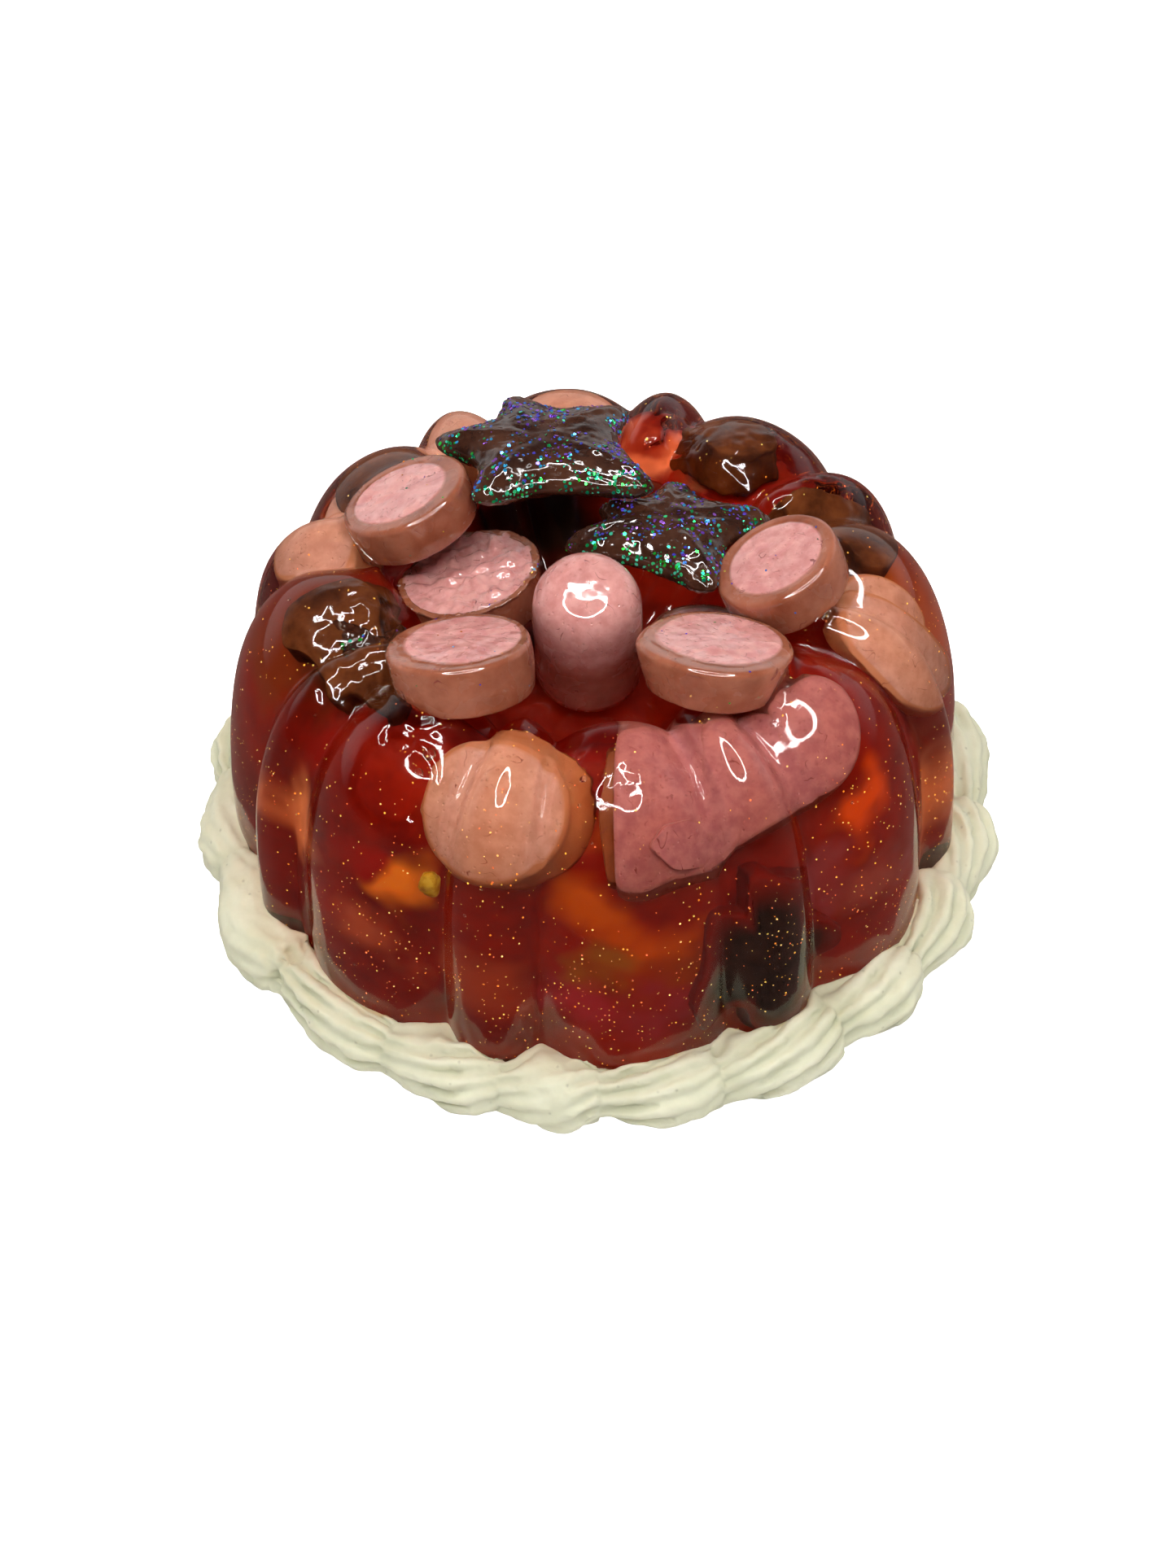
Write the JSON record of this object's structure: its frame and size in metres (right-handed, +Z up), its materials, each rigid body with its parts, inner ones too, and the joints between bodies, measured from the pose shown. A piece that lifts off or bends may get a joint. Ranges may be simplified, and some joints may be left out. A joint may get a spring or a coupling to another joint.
{
  "type": "fluted jelly dessert",
  "caption": "Fluted ring-moulded jelly with sausage slices and dark stars lying in and over its well, and a piped border round its foot.",
  "frame": {"origin": "middle of the jelly's flat foot, on the surface that it stands on", "axes": "+Z up, -Y towards the viewer of the picture, +X to the right"},
  "size_m": [0.1293, 0.1291, 0.0625],
  "materials": {
    "jelly": "clear amber to deep red-brown, wet gloss",
    "cream": "soft matt, off-white",
    "sausage": "pink cut meat in a tan casing, wet in places",
    "star": "dark brown, glossy, with fine green, blue and violet glitter"
  },
  "bodies": {
    "root": {"jelly_body": "jelly", "cream_border": "cream", "slice_left_back": "sausage", "slice_left_low": "sausage", "slice_left_front": "sausage", "slice_right_front": "sausage", "slice_right_back": "sausage", "slice_well": "sausage", "sausage_end": "sausage", "star_back": "star", "star_front": "star", "star_left": "star"}
  },
  "joints": []
}
